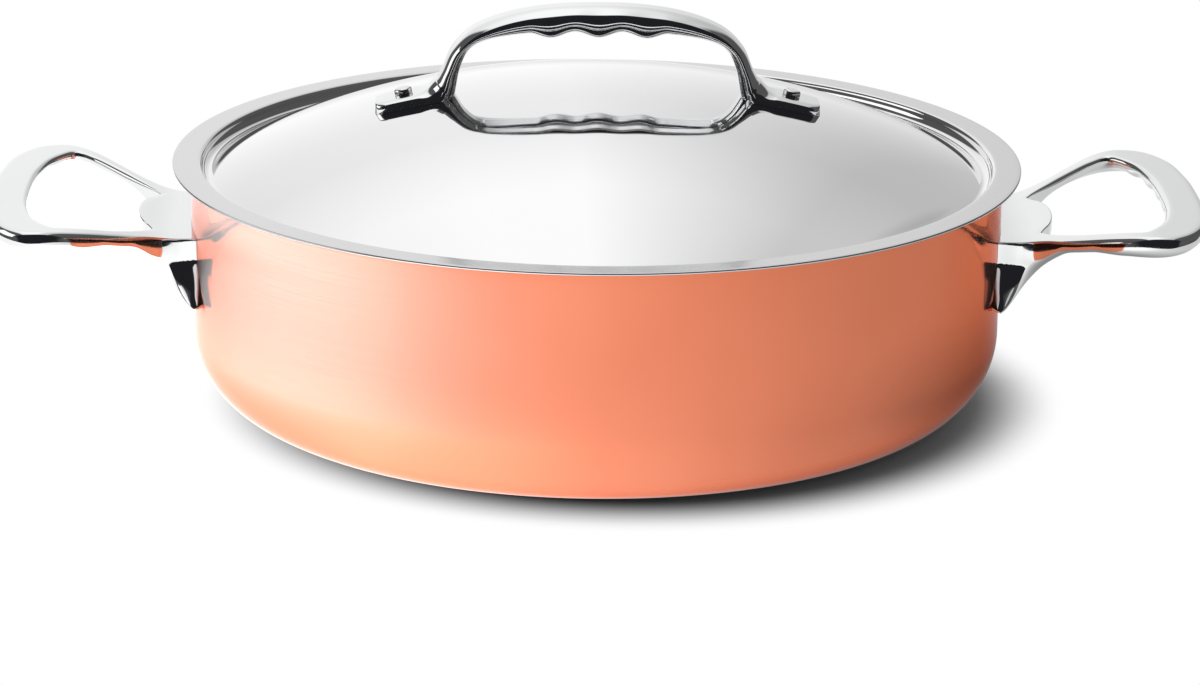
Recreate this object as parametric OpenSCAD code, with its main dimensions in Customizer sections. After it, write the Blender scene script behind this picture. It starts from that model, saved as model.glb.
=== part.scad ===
// Low two-handled stew pot: copper wall lined with steel, plate under the base,
// two cast side handles and a stepped, domed lid with a cast bow handle.
// Millimetres. The origin is the centre of the face that the pot stands on, +Z is up,
// +X points to one side handle and -Y to the side that faces the cook.

/* [Pot] */
// Inside diameter of the pot
inner_d = 280; // [220:1:340]
// Height of the rim above the surface that the pot stands on
rim_z = 86.8; // [80:0.1:130]
// Thickness of the copper layer
copper_t = 1.8; // [1.2:0.1:3]
// Thickness of the steel lining
lining_t = 0.2; // [0.2:0.05:0.5]
// Outer radius of the bend between wall and base
corner_r = 28; // [16:1:36]
// Radius that rounds the outer edge of the rim
rim_edge_r = 0.9; // [0.3:0.1:1.1]
// Distance from the edge of the flat base to the edge of the magnetic plate
plate_margin = 9; // [3:1:30]
// Thickness of the magnetic plate
plate_t = 1.5; // [1:0.1:4]
// Radius that rounds the lower edge of the magnetic plate
plate_edge_r = 0.6; // [0.2:0.1:0.9]

/* [Lid] */
// Thickness of the lid's sheet
lid_t = 1; // [0.8:0.1:1.2]
// How far the lid's flange reaches out past the pot's wall
flange_overhang = 6.4; // [3:0.1:12]
// Radius of the dome's upper surface
dome_r = 310; // [280:5:400]
// Radius of the shoulder that runs round the dome
shoulder_r = 200; // [80:5:240]
// Depth of the gutter below the upper face of the flange
gutter_depth = 4.5; // [4.5:0.1:9]
// Radius of the hollow that runs round the gutter
gutter_r = 2.8; // [1.5:0.1:2.8]
// Radius of the sheet's underside where the gutter turns into the flange
flange_bend_r = 0.5; // [0.2:0.05:0.5]
// Gap between the lid's skirt and the pot's lining
lid_gap = 0.8; // [0.4:0.1:2]

/* [Lid handle] */
// Width over the two arms of the bow
bow_w = 111; // [90:1:130]
// Height of the bow's top above the top of the dome
bow_h = 28.3; // [26:0.1:40]
// Thickness of the bow's bar between the finger bumps
bar_t = 9.3; // [8:0.1:11]
// Thickness of the bow's arms
arm_t = 6.2; // [5:0.1:7]
// Width of the bow from front to back
bow_depth = 19; // [14:0.5:24]
// Distance between the ends of the two tabs
tab_span = 155; // [148:1:176]
// Thickness of the tabs
tab_t = 3.6; // [2.6:0.1:4]
// Distance between the two lid rivets
lid_rivet_span = 134; // [134:1:138]
// Height of the finger bumps under the bar
finger_depth = 2.6; // [0.6:0.1:3]
// Distance between the finger bumps
finger_pitch = 16.5; // [12:0.5:18]

/* [Side handles] */
// How far each handle reaches out from the pot's wall
handle_reach = 70.5; // [60:0.5:90]
// Overall width of each handle
handle_w = 122; // [106:1:140]
// Height of each bracket's upper face below the rim
bracket_drop = 20.8; // [16:0.1:24]
// How far the grip's upper face lies above the bracket's
grip_rise = 10; // [4:0.5:14]
// Thickness of the grip at the middle of its end bar
grip_t = 7; // [6:0.1:8.5]
// Width of the bar at the end of the grip
grip_bar_w = 14; // [11:0.5:16]
// Width of the grip's arms
grip_arm_w = 10; // [8:0.5:12]
// Length of the web between wall and finger opening
web_w = 18; // [16:0.5:22]
// Depth of each foot below the underside of the web
foot_drop = 18; // [14:0.5:20]
// How far along the arms the feet reach before they have run out
foot_reach = 29; // [24:0.5:32]
// How far each foot's tip leans out along the wall
foot_splay = 12; // [6:0.5:14]
// Radius that rounds the grip's edges
grip_edge_r = 3.2; // [2:0.1:3.6]

/* [Rivets] */
// Diameter of the side handles' rivets
rivet_d = 5; // [4:0.1:6]
// Diameter of the side rivets' heads inside the pot
rivet_head_d = 12; // [9:0.5:15]
// Height of the side rivets' heads
rivet_head_h = 1.9; // [1.2:0.1:2.5]
// How deep the side rivets reach into the feet
rivet_grip = 4.6; // [3:0.1:5]
// Diameter of the lid handle's rivets
lid_rivet_d = 3.6; // [3:0.1:4]
// Diameter of the lid rivets' heads
lid_rivet_head_d = 6.2; // [5.6:0.1:6.4]
// Height of the lid rivets' heads
lid_rivet_head_h = 1.9; // [1.2:0.1:2.5]

/* [Hidden] */
$fn = 96;

// One overrun serves every cut
overrun = 1;
// Gap that keeps riveted faces from sharing one surface
seat_gap = 0.05;
// Radial play between a rivet and its hole
hole_play = 0.05;

// Pot
inner_r = inner_d / 2;
copper_inner_r = inner_r + lining_t;
wall_r = copper_inner_r + copper_t;
lining_corner_r = corner_r - copper_t;
inside_corner_r = lining_corner_r - lining_t;
plate_r = wall_r - corner_r - plate_margin;

// Lid: the sheet is what lies between two surfaces that are lid_t apart
flange_top_z = rim_z + lid_t;
flange_r = wall_r + flange_overhang;
skirt_r = inner_r - lid_gap - lid_t;
bend_r = flange_bend_r + lid_t;
gutter_x = skirt_r - gutter_r;
gutter_z = flange_top_z - gutter_depth + gutter_r;
// The shoulder starts here, touches the gutter's hollow and has its centre below
shoulder_share = 0.87;
shoulder_x = shoulder_share * gutter_x;
dome_slope = asin(shoulder_x / dome_r);
shoulder_cx = shoulder_x * (1 - shoulder_r / dome_r);
gutter_slope = asin((gutter_x - shoulder_cx) / (shoulder_r + gutter_r));
shoulder_cz = gutter_z - (shoulder_r + gutter_r) * cos(gutter_slope);
dome_z = shoulder_cz - (dome_r - shoulder_r) * cos(dome_slope);
apex_z = dome_z + dome_r;
function dome_top(x) = dome_z + sqrt(pow(dome_r, 2) - pow(x, 2));

// Side handles
bracket_z = rim_z - bracket_drop;
foot_fall_share = 2.2;
foot_fill_share = 1.2;
foot_straight_share = 0.2;
foot_lean_share = 0.5;
rise_end_share = 0.71;
rivet_z = bracket_z - grip_t / 2 - foot_drop / 2;
rivet_side_share = 0.49;
rivet_angle = asin(rivet_side_share * handle_w / 2 / wall_r);
lid_rivet_angle = asin(lid_rivet_span / 2 / dome_r);

// Each row is one section of half a side handle, from the middle of the grip's end
// bar to the middle of the web. Its shares are: the outer edge across the handle, of
// half its width; the outer edge off the wall, of the reach; the turn of the section
// in half turns; its widths, of the end bar, the arms and the web; its thickness at
// the outer edge, of the grip's; its thickness at the inner edge, of the outer one; how
// much of the foot hangs from it; the rounding of its upper and of its lower outer edge.
grip_shares = [
    [0,      1,     0,     1,    0,    0,    0.96, 0.66, 0,   1,    1.4],
    [0.41,   1.018, 0.02,  1.02, 0,    0,    0.98, 0.64, 0,   1,    1.4],
    [0.728,  1.043, 0.09,  1.1,  0,    0,    1.06, 0.56, 0,   1,    1.6],
    [0.95,   1.01,  0.235, 0.6,  0.7,  0,    1.24, 0.46, 0,   1,    1.8],
    [1,      0.88,  0.38,  0.1,  0.98, 0,    1.38, 0.41, 0,   1,    1.7],
    [0.92,   0.69,  0.55,  0,    0.84, 0,    1.22, 0.46, 0,   0.9,  1.5],
    [0.775,  0.485, 0.7,   0,    0.7,  0,    0.84, 0.75, 0.6, 0.75, 1.4],
    [0.635,  0.305, 0.745, 0,    0.72, 0,    0.7,  1,    1,   0.5,  1.6],
    [0.56,   0.2,   0.77,  0,    0.84, 0,    0.66, 1,    1,   0.3,  1.6],
    [0.53,   0.1,   0.81,  0,    0.5,  0.42, 0.66, 1,    1,   0.2,  1.4],
    [0.5,   -0.04,  0.88,  0,    0,    1.12, 0.66, 1,    1,   0.18, 1],
    [0.4,   -0.08,  0.92,  0,    0,    1.27, 0.66, 1,    0.9, 0.18, 0.8],
    [0.28,  -0.08,  0.95,  0,    0,    1.32, 0.66, 1,    0.1, 0.18, 0.5],
    [0,     -0.08,  1,     0,    0,    1.34, 0.66, 1,    0,   0.18, 0.5]
];
// The first and third change sign across the middle, and the rest repeat there
grip_odd = [1, 0, 1, 0, 0, 0, 0, 0, 0, 0, 0];
grip_steps = [8, 5, 4, 3, 2, 2, 2, 2, 2, 3, 3, 2, 2];

// Each row is one section of half the bow, from the middle of the bar to the foot:
// upper edge and lower edge, each as shares of half the bow's width and of its height
bow_shares = [
    [0,     1,     0,      0],
    [0.3,   0.975, 0.29,  -0.007],
    [0.57,  0.876, 0.55,  -0.042],
    [0.785, 0.703, 0.74,  -0.095],
    [0.915, 0.456, 0.84,  -0.219],
    [0.98,  0.18,  0.885, -0.481],
    [1.02,  0.06,  0.915, -0.84]
];
bow_odd = [1, 0, 1, 0];
bow_steps = [9, 7, 5, 4, 3, 3];
// Half of the bow's section, from its lower edge up, as shares of its thickness and of
// half its depth: a narrow keel for the fingers under a broad, crowned band
keel_shares = [
    [0, 0], [0, 0.25], [0.05, 0.42], [0.18, 0.52], [0.29, 0.57], [0.345, 0.75], [0.39, 0.94],
    [0.5, 1], [0.66, 0.975], [0.82, 0.87], [0.94, 0.62], [1, 0.3], [1, 0]
];

// Smooth step from 0 to 1
function ease(t) = let (c = min(max(t, 0), 1)) c * c * (3 - 2 * c);
function blend(a, b, t) = a + (b - a) * t;
function bulge(v, share) = sign(v) * pow(abs(v), share);
// Row past a plane of symmetry: odd entries run on and even ones repeat
function past(edge, next, odd) =
    [for (i = [0:len(edge) - 1]) next[i] + 2 * odd[i] * (edge[i] - next[i])];
// Smooth curve through four rows, from b to c
function curve(a, b, c, d, t) =
    b + (c - a) * t / 2
    + (2 * a - 5 * b + 4 * c - d) * t * t / 2
    + (3 * b - a - 3 * c + d) * t * t * t / 2;
function row_at(rows, odd, k, t) = let (
        last = len(rows) - 1,
        before = k > 0 ? rows[k - 1] : past(rows[0], rows[1], odd),
        after = k + 2 <= last ? rows[k + 2] : past(rows[last], rows[last - 1], odd)
    ) curve(before, rows[k], rows[k + 1], after, t);
function all_rows(rows, odd, steps) = [
    for (k = [0:len(rows) - 2]) for (j = [0:steps[k] - 1]) row_at(rows, odd, k, j / steps[k]),
    rows[len(rows) - 1]
];
function flipped(ring, m) = [for (p = ring) [p[0] * m[0], p[1] * m[1], p[2] * m[2]]];

// Two triangles between neighbouring points of neighbouring rings
function skin(n, rings, closed) = [
    for (i = [0:rings - (closed ? 1 : 2)]) for (j = [0:n - 1])
        let (
            a = i * n + j,
            b = i * n + (j + 1) % n,
            c = ((i + 1) % rings) * n + (j + 1) % n,
            d = ((i + 1) % rings) * n + j
        ) each [[a, b, c], [a, c, d]]
];

// Space under the lid's upper surface, or under the surface that lies drop below it
module under_lid(drop, low, reach) {
    hollow = gutter_r + drop;
    from_x = shoulder_cx + (shoulder_r - drop) * sin(dome_slope);
    from_z = shoulder_cz + (shoulder_r - drop) * cos(dome_slope);
    touch_x = gutter_x - hollow * sin(gutter_slope);
    touch_z = gutter_z - hollow * cos(gutter_slope);
    side = skirt_r + drop;
    inner_bend = bend_r - drop;
    top = flange_top_z - drop;
    intersection() {
        translate([0, dome_z]) circle(r = dome_r - drop);
        translate([0, low]) square([from_x, apex_z - low]);
    }
    polygon([[from_x, low], [touch_x, low], [touch_x, touch_z], [from_x, from_z]]);
    intersection() {
        translate([shoulder_cx, shoulder_cz]) circle(r = shoulder_r - drop);
        polygon([[from_x, from_z], [touch_x, touch_z], [touch_x, apex_z], [from_x, apex_z]]);
    }
    difference() {
        polygon([
            [touch_x, low], [side, low], [side, gutter_z],
            [gutter_x, gutter_z], [touch_x, touch_z]
        ]);
        translate([gutter_x, gutter_z]) circle(r = hollow);
    }
    polygon([
        [side, low], [reach, low], [reach, top], [side + inner_bend, top],
        [side + inner_bend, top - inner_bend], [side, top - inner_bend]
    ]);
    translate([side + inner_bend, top - inner_bend]) circle(r = inner_bend);
}

// Half outline of a round vessel, filled
module vessel(r, corner, floor_z, top_z) {
    translate([0, floor_z]) square([r - corner, top_z - floor_z]);
    translate([0, floor_z + corner]) square([r, top_z - floor_z - corner]);
    translate([r - corner, floor_z + corner]) intersection() {
        circle(r = corner);
        translate([0, -corner]) square(corner);
    }
}

// Cuts or fills along the axis of one side rivet, from one radius to another
module side_rivet_bore(side, end, r, from_r, to_r) {
    rotate([0, 0, end * rivet_angle]) mirror([side < 0 ? 1 : 0, 0, 0])
        translate([from_r, 0, rivet_z]) rotate([0, 90, 0]) cylinder(r = r, h = to_r - from_r);
}

module side_rivet_bores(r, from_r, to_r) {
    for (side = [-1, 1]) for (end = [-1, 1]) side_rivet_bore(side, end, r, from_r, to_r);
}

module copper_shell() color("#e08a62") difference() {
    rotate_extrude() difference() {
        vessel(wall_r, corner_r, plate_t, rim_z);
        vessel(copper_inner_r, lining_corner_r, plate_t + copper_t, rim_z + overrun);
        translate([wall_r - rim_edge_r, rim_z - rim_edge_r]) difference() {
            square(rim_edge_r + overrun);
            circle(r = rim_edge_r);
        }
    }
    side_rivet_bores(rivet_d / 2 + hole_play, inner_r - rivet_grip, wall_r + overrun);
}

module steel_lining() color("#d5d5d8") difference() {
    rotate_extrude() difference() {
        vessel(copper_inner_r, lining_corner_r, plate_t + copper_t, rim_z);
        vessel(inner_r, inside_corner_r, plate_t + copper_t + lining_t, rim_z + overrun);
    }
    side_rivet_bores(rivet_d / 2 + hole_play, inner_r - rivet_grip, wall_r + overrun);
}

module induction_plate() color("#9a9a9c") rotate_extrude() {
    square([plate_r - plate_edge_r, plate_t]);
    translate([0, plate_edge_r]) square([plate_r, plate_t - plate_edge_r]);
    translate([plate_r - plate_edge_r, plate_edge_r]) circle(r = plate_edge_r);
}

// Points of one section of a side handle
function wall_x(y) = sqrt(pow(wall_r, 2) - pow(min(abs(y), wall_r), 2));
function grip_top(x) =
    bracket_z + grip_rise * ease((x - wall_r) / (rise_end_share * handle_reach));
// Finger waves on the inner lower edge of the end bar
function grip_wave(y) = finger_depth / 4 * cos(360 * y / finger_pitch)
    * ease((handle_w * 0.45 - abs(y)) / finger_pitch);
// Depth of a whole foot below the web's underside, at a distance off the wall
function foot_fall(off) = let (s = min(max(off / foot_reach, 0), 1))
    foot_drop * pow(1 - s, foot_fall_share) * (1 + foot_fill_share * s);
// How far a foot leans out along the wall, below its straight upper part
function foot_lean(off, drop) = let (
        s = min(max(off / (foot_reach * foot_lean_share), 0), 1),
        low = max(drop / foot_drop - foot_straight_share, 0) / (1 - foot_straight_share)
    ) foot_splay * pow(low, 1.2) * (1 + cos(180 * s)) / 2;
function grip_ring(row) = let (
        outer_y = row[0] * handle_w / 2,
        outer = [wall_x(outer_y) + row[1] * handle_reach, outer_y],
        width = row[3] * grip_bar_w + row[4] * grip_arm_w + row[5] * web_w,
        turn = 180 + 180 * row[2],
        inner = outer + width * [cos(turn), sin(turn)],
        outer_t = row[6] * grip_t,
        inner_t = row[7] * outer_t,
        high_r = min(row[9] * grip_edge_r, inner_t * 0.45, width * 0.42),
        deep = outer_t + row[8] * foot_fall(row[1] * handle_reach),
        low_r = min(row[10] * grip_edge_r, (deep - high_r) * 0.95, width * 0.56),
        arc = [0, 30, 60, 90],
        side = [0.25, 0.5, 0.75],
        high_share = high_r / width,
        low_share = low_r / width,
        // Place across the section, place up its height, and depth of the rounding there
        marks = [
            for (a = arc) [1 - high_share * (1 - cos(a)), 1, high_r * (1 - sin(a))],
            for (s = side) [blend(1 - high_share, high_share, s), 1, 0],
            for (a = arc) [high_share * (1 - sin(a)), 1, high_r * (1 - cos(a))],
            for (a = arc) [high_share * (1 - cos(a)), 0, -high_r * (1 - sin(a))],
            for (s = side) [blend(high_share, 1 - low_share, s), 0, 0],
            for (a = arc) [1 - low_share * (1 - sin(a)), 0, -low_r * (1 - cos(a))],
            for (s = side) [1, s, blend(-low_r, high_r, s)]
        ]
    ) [for (m = marks) let (
        p = blend(inner, outer, m[0]),
        off = p[0] - wall_x(p[1]),
        top = grip_top(p[0]),
        wave = row[3] * grip_wave(p[1]) * (1 - m[0]),
        bottom = top - blend(inner_t, outer_t, m[0]) - row[8] * foot_fall(off) + wave,
        z = blend(bottom, top, m[1]) - m[2],
        lean = row[8] * foot_lean(off, top - outer_t - z)
    ) [p[0], p[1] + lean, z]];

module grip_loop() {
    half = [for (row = all_rows(grip_shares, grip_odd, grip_steps)) grip_ring(row)];
    last = len(half) - 1;
    rings = [
        each half,
        for (i = [last - 1:-1:1]) flipped(half[i], [1, -1, 1])
    ];
    polyhedron(
        points = [for (ring = rings) each ring],
        faces = skin(len(half[0]), len(rings), true)
    );
}

module side_handle(side) color("#c9ccd0") mirror([side < 0 ? 1 : 0, 0, 0]) difference() {
    grip_loop();
    cylinder(r = wall_r + seat_gap, h = rim_z * 2);
    for (end = [-1, 1])
        side_rivet_bore(1, end, rivet_d / 2 + hole_play, inner_r, wall_r + rivet_grip + hole_play);
}

module left_handle() side_handle(-1);
module right_handle() side_handle(1);

// Round head with a rounded edge, from z = 0 up
module button(r, h, edge) rotate_extrude() {
    square([r - edge, h]);
    square([r, h - edge]);
    translate([r - edge, h - edge]) circle(r = edge);
}

module side_rivet(side, end) color("#b9bcc0") {
    head_seat = sqrt(pow(inner_r, 2) - pow(rivet_head_d / 2, 2)) - seat_gap;
    side_rivet_bore(side, end, rivet_d / 2, head_seat - rivet_head_h / 2, wall_r + rivet_grip);
    rotate([0, 0, end * rivet_angle]) mirror([side < 0 ? 1 : 0, 0, 0])
        translate([head_seat, 0, rivet_z]) rotate([0, -90, 0])
        button(rivet_head_d / 2, rivet_head_h, rivet_head_h / 2);
}

module left_front_rivet() side_rivet(-1, 1);
module left_rear_rivet() side_rivet(-1, -1);
module right_front_rivet() side_rivet(1, -1);
module right_rear_rivet() side_rivet(1, 1);

// Places its children on the dome's surface where a lid rivet goes, +Z outwards
module at_lid_rivet(side)
    translate([0, 0, dome_z]) rotate([0, side * lid_rivet_angle, 0])
        translate([0, 0, dome_r]) children();

module lid_rivet_bores() {
    for (side = [-1, 1]) at_lid_rivet(side) translate([0, 0, -lid_t - tab_t])
        cylinder(r = lid_rivet_d / 2 + hole_play, h = lid_t + tab_t * 3);
}

module lid() color("#dcdde0") difference() {
    rotate_extrude() {
        edge_x = flange_r - lid_t / 2;
        intersection() {
            difference() {
                under_lid(0, gutter_z - dome_r / 4, flange_r);
                under_lid(lid_t, gutter_z - dome_r / 2, flange_r + overrun);
            }
            translate([0, gutter_z - gutter_depth * 2]) square([edge_x, apex_z]);
        }
        translate([edge_x, flange_top_z - lid_t / 2]) circle(r = lid_t / 2);
    }
    lid_rivet_bores();
}

// Points of one section of the bow, from its lower edge up one side and down the other.
// The keel share is 1 for the keeled section and 0 for a rounded block, whose
// squareness share is 1 for an ellipse and falls towards 0 for a rectangle.
function bow_ring(low, high, half_depth, square_share, keel_share) = let (
        last = len(keel_shares) - 1,
        marks = [for (i = [0:last]) let (a = 180 * i / last - 90) [
            blend(0.5 + 0.5 * bulge(sin(a), square_share), keel_shares[i][0], keel_share),
            half_depth * blend(bulge(cos(a), square_share), keel_shares[i][1], keel_share)
        ]],
        line = [for (m = marks) blend(low, high, m[0])]
    ) [
        for (i = [0:last]) [line[i][0], marks[i][1], line[i][1]],
        for (i = [last - 1:-1:1]) [line[i][0], -marks[i][1], line[i][1]]
    ];
// Finger bumps that hang under the bar
function bow_wave(x) = finger_depth * (0.5 + 0.5 * cos(360 * x / finger_pitch))
    * ease((finger_pitch * 1.75 - abs(x)) / (finger_pitch / 2));
function bow_rings() = let (
        half_w = bow_w / 2,
        bar_low = bow_h - bar_t,
        arch = [for (row = all_rows(bow_shares, bow_odd, bow_steps)) let (
            high = [row[0] * half_w, apex_z + row[1] * bow_h],
            leg = ease((row[0] - 0.3) / 0.5),
            low = [
                blend(row[2] * half_w, high[0] - arm_t, leg * leg),
                apex_z + bar_low + row[3] * bow_h - bow_wave(row[2] * half_w)
            ]
        ) bow_ring(low, high, bow_depth / 2, 1, 1)],
        // The arm flares into the tab round a hollow: lower and upper place along the
        // lid, upper place in tab thicknesses, squareness and keel shares
        arm_x = bow_shares[len(bow_shares) - 1][0] * half_w,
        flare = [
            [arm_x - arm_t + tab_t * 0.15, arm_x + tab_t * 0.4, 1.55, 0.8, 0.8],
            [arm_x - arm_t + tab_t * 0.8, arm_x + tab_t * 0.85, 1.18, 0.6, 0.4],
            [arm_x - arm_t + tab_t * 1.7, arm_x + tab_t * 1.35, 1.04, 0.45, 0.1]
        ],
        // Tab: place along its length and its share of the full depth
        tab_end = tab_span / 2,
        tab = [
            [arm_x + tab_t * 1.85, 1], [tab_end - tab_t * 2, 1], [tab_end - tab_t, 0.99],
            [tab_end - tab_t * 0.5, 0.93], [tab_end - tab_t * 0.15, 0.82], [tab_end, 0.66]
        ]
    ) [
        each arch,
        for (f = flare) bow_ring(
            [f[0], dome_top(f[0]) - tab_t], [f[1], dome_top(f[1]) + tab_t * f[2]],
            bow_depth / 2, f[3], f[4]
        ),
        for (t = tab) bow_ring(
            [t[0], dome_top(t[0]) - tab_t], [t[0], dome_top(t[0]) + tab_t],
            bow_depth / 2 * t[1], 0.32, 0
        )
    ];

module bow() {
    half = bow_rings();
    last = len(half) - 1;
    n = len(half[0]);
    rings = [
        for (i = [last:-1:1]) flipped(half[i], [-1, 1, 1]),
        each half
    ];
    count = len(rings);
    polyhedron(
        points = [for (ring = rings) each ring],
        faces = [
            each skin(n, count, false),
            [for (j = [n - 1:-1:0]) j],
            [for (j = [0:n - 1]) (count - 1) * n + j]
        ]
    );
}

module lid_handle() color("#c9ccd0") difference() {
    bow();
    translate([0, 0, dome_z]) sphere(r = dome_r + seat_gap, $fn = 360);
    lid_rivet_bores();
}

module lid_rivet(side) color("#b9bcc0") at_lid_rivet(side) {
    // The shank reaches this far into each head
    root = lid_rivet_head_h / 4;
    translate([0, 0, tab_t + seat_gap])
        button(lid_rivet_head_d / 2, lid_rivet_head_h, lid_rivet_head_h / 2);
    translate([0, 0, -lid_t - seat_gap - root])
        cylinder(r = lid_rivet_d / 2, h = lid_t + tab_t + 2 * (seat_gap + root));
    translate([0, 0, -lid_t - seat_gap]) mirror([0, 0, 1])
        button(lid_rivet_head_d / 2, lid_rivet_head_h / 2, lid_rivet_head_h / 4);
}

module left_lid_rivet() lid_rivet(-1);
module right_lid_rivet() lid_rivet(1);

copper_shell();
steel_lining();
induction_plate();
left_handle();
right_handle();
left_front_rivet();
left_rear_rivet();
right_front_rivet();
right_rear_rivet();
lid();
lid_handle();
left_lid_rivet();
right_lid_rivet();
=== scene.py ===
"""Looks of the lidded copper stew pot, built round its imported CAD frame.

The sheet metal is revolved again with fine, evenly spaced rings, and the castings are
lofted again through the same sections as the solids, many times finer, so that
polished metal mirrors its surroundings cleanly. Shapes are worked out in millimetres,
and each mesh is scaled to metres as it is made. Materials, lamps and camera are in
metres.

Two forms differ from the solids': the bow's finger bumps are a little shallower,
and the outer sides of the side handles draw in at their edges.
"""

import math

import bmesh
import bpy
import numpy as np
from mathutils import Matrix, Vector


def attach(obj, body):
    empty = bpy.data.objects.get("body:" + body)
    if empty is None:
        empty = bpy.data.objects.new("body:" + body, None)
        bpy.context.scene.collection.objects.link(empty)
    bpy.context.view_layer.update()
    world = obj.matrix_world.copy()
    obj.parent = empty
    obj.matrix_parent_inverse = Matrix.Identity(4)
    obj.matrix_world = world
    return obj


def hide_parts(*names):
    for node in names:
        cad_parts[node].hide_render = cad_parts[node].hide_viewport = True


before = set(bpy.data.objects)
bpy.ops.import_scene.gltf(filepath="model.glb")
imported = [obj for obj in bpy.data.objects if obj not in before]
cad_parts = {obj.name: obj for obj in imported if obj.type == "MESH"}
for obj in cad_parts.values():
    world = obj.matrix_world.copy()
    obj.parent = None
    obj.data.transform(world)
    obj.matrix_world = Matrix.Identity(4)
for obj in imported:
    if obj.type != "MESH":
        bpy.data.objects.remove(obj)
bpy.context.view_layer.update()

MM = 0.001
# Gap between a casting or a rivet head and what it sits on
SEAT_GAP = 0.05

# Pot
INNER_R = 140.0
LINING_T = 0.2
COPPER_T = 1.8
COPPER_INNER_R = INNER_R + LINING_T
WALL_R = COPPER_INNER_R + COPPER_T
RIM_Z = 86.8
RIM_EDGE_R = 0.9
CORNER_R = 28.0
PLATE_T = 1.5
PLATE_MARGIN = 9.0
PLATE_R = WALL_R - CORNER_R - PLATE_MARGIN
PLATE_EDGE_R = 0.6

# Lid: a dome, a shoulder that falls more steeply, a gutter, a bend and a flange
LID_T = 1.0
LID_GAP = 0.8
FLANGE_OVERHANG = 6.4
FLANGE_R = WALL_R + FLANGE_OVERHANG
FLANGE_TOP_Z = RIM_Z + LID_T
# Radius of the bend's underside
FLANGE_BEND_R = 0.5
DOME_R = 310.0
SHOULDER_R = 200.0
SHOULDER_SHARE = 0.87
GUTTER_DEPTH = 4.5
GUTTER_R = 2.8
SKIRT_R = INNER_R - LID_GAP - LID_T
GUTTER_X = SKIRT_R - GUTTER_R
GUTTER_Z = FLANGE_TOP_Z - GUTTER_DEPTH + GUTTER_R
SHOULDER_X = SHOULDER_SHARE * GUTTER_X
DOME_SLOPE = math.asin(SHOULDER_X / DOME_R)
SHOULDER_CX = SHOULDER_X * (1 - SHOULDER_R / DOME_R)
GUTTER_SLOPE = math.asin((GUTTER_X - SHOULDER_CX) / (SHOULDER_R + GUTTER_R))
SHOULDER_CZ = GUTTER_Z - (SHOULDER_R + GUTTER_R) * math.cos(GUTTER_SLOPE)
DOME_Z = SHOULDER_CZ - (DOME_R - SHOULDER_R) * math.cos(DOME_SLOPE)
APEX_Z = DOME_Z + DOME_R

# Bow of the lid
BOW_W = 111.0
BOW_H = 28.3
BAR_T = 9.3
ARM_T = 6.2
BOW_DEPTH = 19.0
TAB_SPAN = 155.0
TAB_T = 3.6
BOW_FINGER_DEPTH = 2.1
BOW_FINGER_COUNT = 3.5
LEG_START_SHARE = 0.3
LEG_RUN_SHARE = 0.5

# Side handles
FINGER_DEPTH = 2.6
FINGER_PITCH = 16.5
FINGER_END_SHARE = 0.45
HANDLE_REACH = 70.5
HANDLE_W = 122.0
BRACKET_DROP = 20.8
BRACKET_Z = RIM_Z - BRACKET_DROP
GRIP_RISE = 10.0
RISE_END_SHARE = 0.71
GRIP_T = 7.0
GRIP_BAR_W = 14.0
GRIP_ARM_W = 10.0
WEB_W = 18.0
GRIP_EDGE_R = 3.2
GRIP_CROWN = 0.6
FOOT_DROP = 18.0
FOOT_REACH = 29.0
FOOT_SPLAY = 12.0
FOOT_FALL_SHARE = 2.2
FOOT_FILL_SHARE = 1.2
FOOT_STRAIGHT_SHARE = 0.2
FOOT_LEAN_SHARE = 0.5
FOOT_LEAN_POWER = 1.2
# The most that the rounded edges take of the inner edge, the depth and the width
HIGH_INNER_SHARE = 0.45
HIGH_WIDTH_SHARE = 0.42
LOW_DEPTH_SHARE = 0.95
LOW_WIDTH_SHARE = 0.56

# Rivets
RIVET_HEAD_R = 6.0
RIVET_HEAD_H = 1.9
RIVET_Z = BRACKET_Z - GRIP_T / 2 - FOOT_DROP / 2
RIVET_SIDE_SHARE = 0.49
RIVET_ANGLE = math.asin(RIVET_SIDE_SHARE * HANDLE_W / 2 / WALL_R)
LID_RIVET_SPAN = 134.0
LID_RIVET_ANGLE = math.asin(LID_RIVET_SPAN / 2 / DOME_R)
LID_RIVET_HEAD_R = 3.1
LID_RIVET_HEAD_H = 1.9

# Fineness of the meshes: sides of the round pieces, how many times finer than the
# solids the castings are, steps round a side handle's rounded edge, and degrees
# between two faces from which their edge is sharp
WALL_SIDES = 256
PLATE_SIDES = 192
LID_SIDES = 320
RIVET_SIDES = 48
CUTTER_SIDES = 720
CAST_FINER = 4
EDGE_FINE = 6
SHARP_ANGLE = 40.0
# Points closer than this are the same
SAME = 1e-6

MIRROR_X = np.array([-1.0, 1.0, 1.0])
MIRROR_Y = np.array([1.0, -1.0, 1.0])


# Mesh tools
def new_object(name, points, faces, material):
    """An object from points in mm and faces, shaded smooth except at sharp edges."""
    mesh = bpy.data.meshes.new(name)
    mesh.from_pydata([tuple(c * MM for c in p) for p in points], [], faces)
    mesh.validate()
    obj = bpy.data.objects.new(name, mesh)
    bpy.context.scene.collection.objects.link(obj)
    obj.data.materials.append(material)
    finish_mesh(obj)
    return obj


def finish_mesh(obj):
    """Outward normals and smooth shading, with the sharp edges kept."""
    bm = bmesh.new()
    bm.from_mesh(obj.data)
    bmesh.ops.recalc_face_normals(bm, faces=bm.faces)
    limit = math.radians(SHARP_ANGLE)
    for edge in bm.edges:
        edge.smooth = not (len(edge.link_faces) == 2 and edge.calc_face_angle(0) > limit)
    for face in bm.faces:
        face.smooth = True
    bm.to_mesh(obj.data)
    bm.free()


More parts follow.
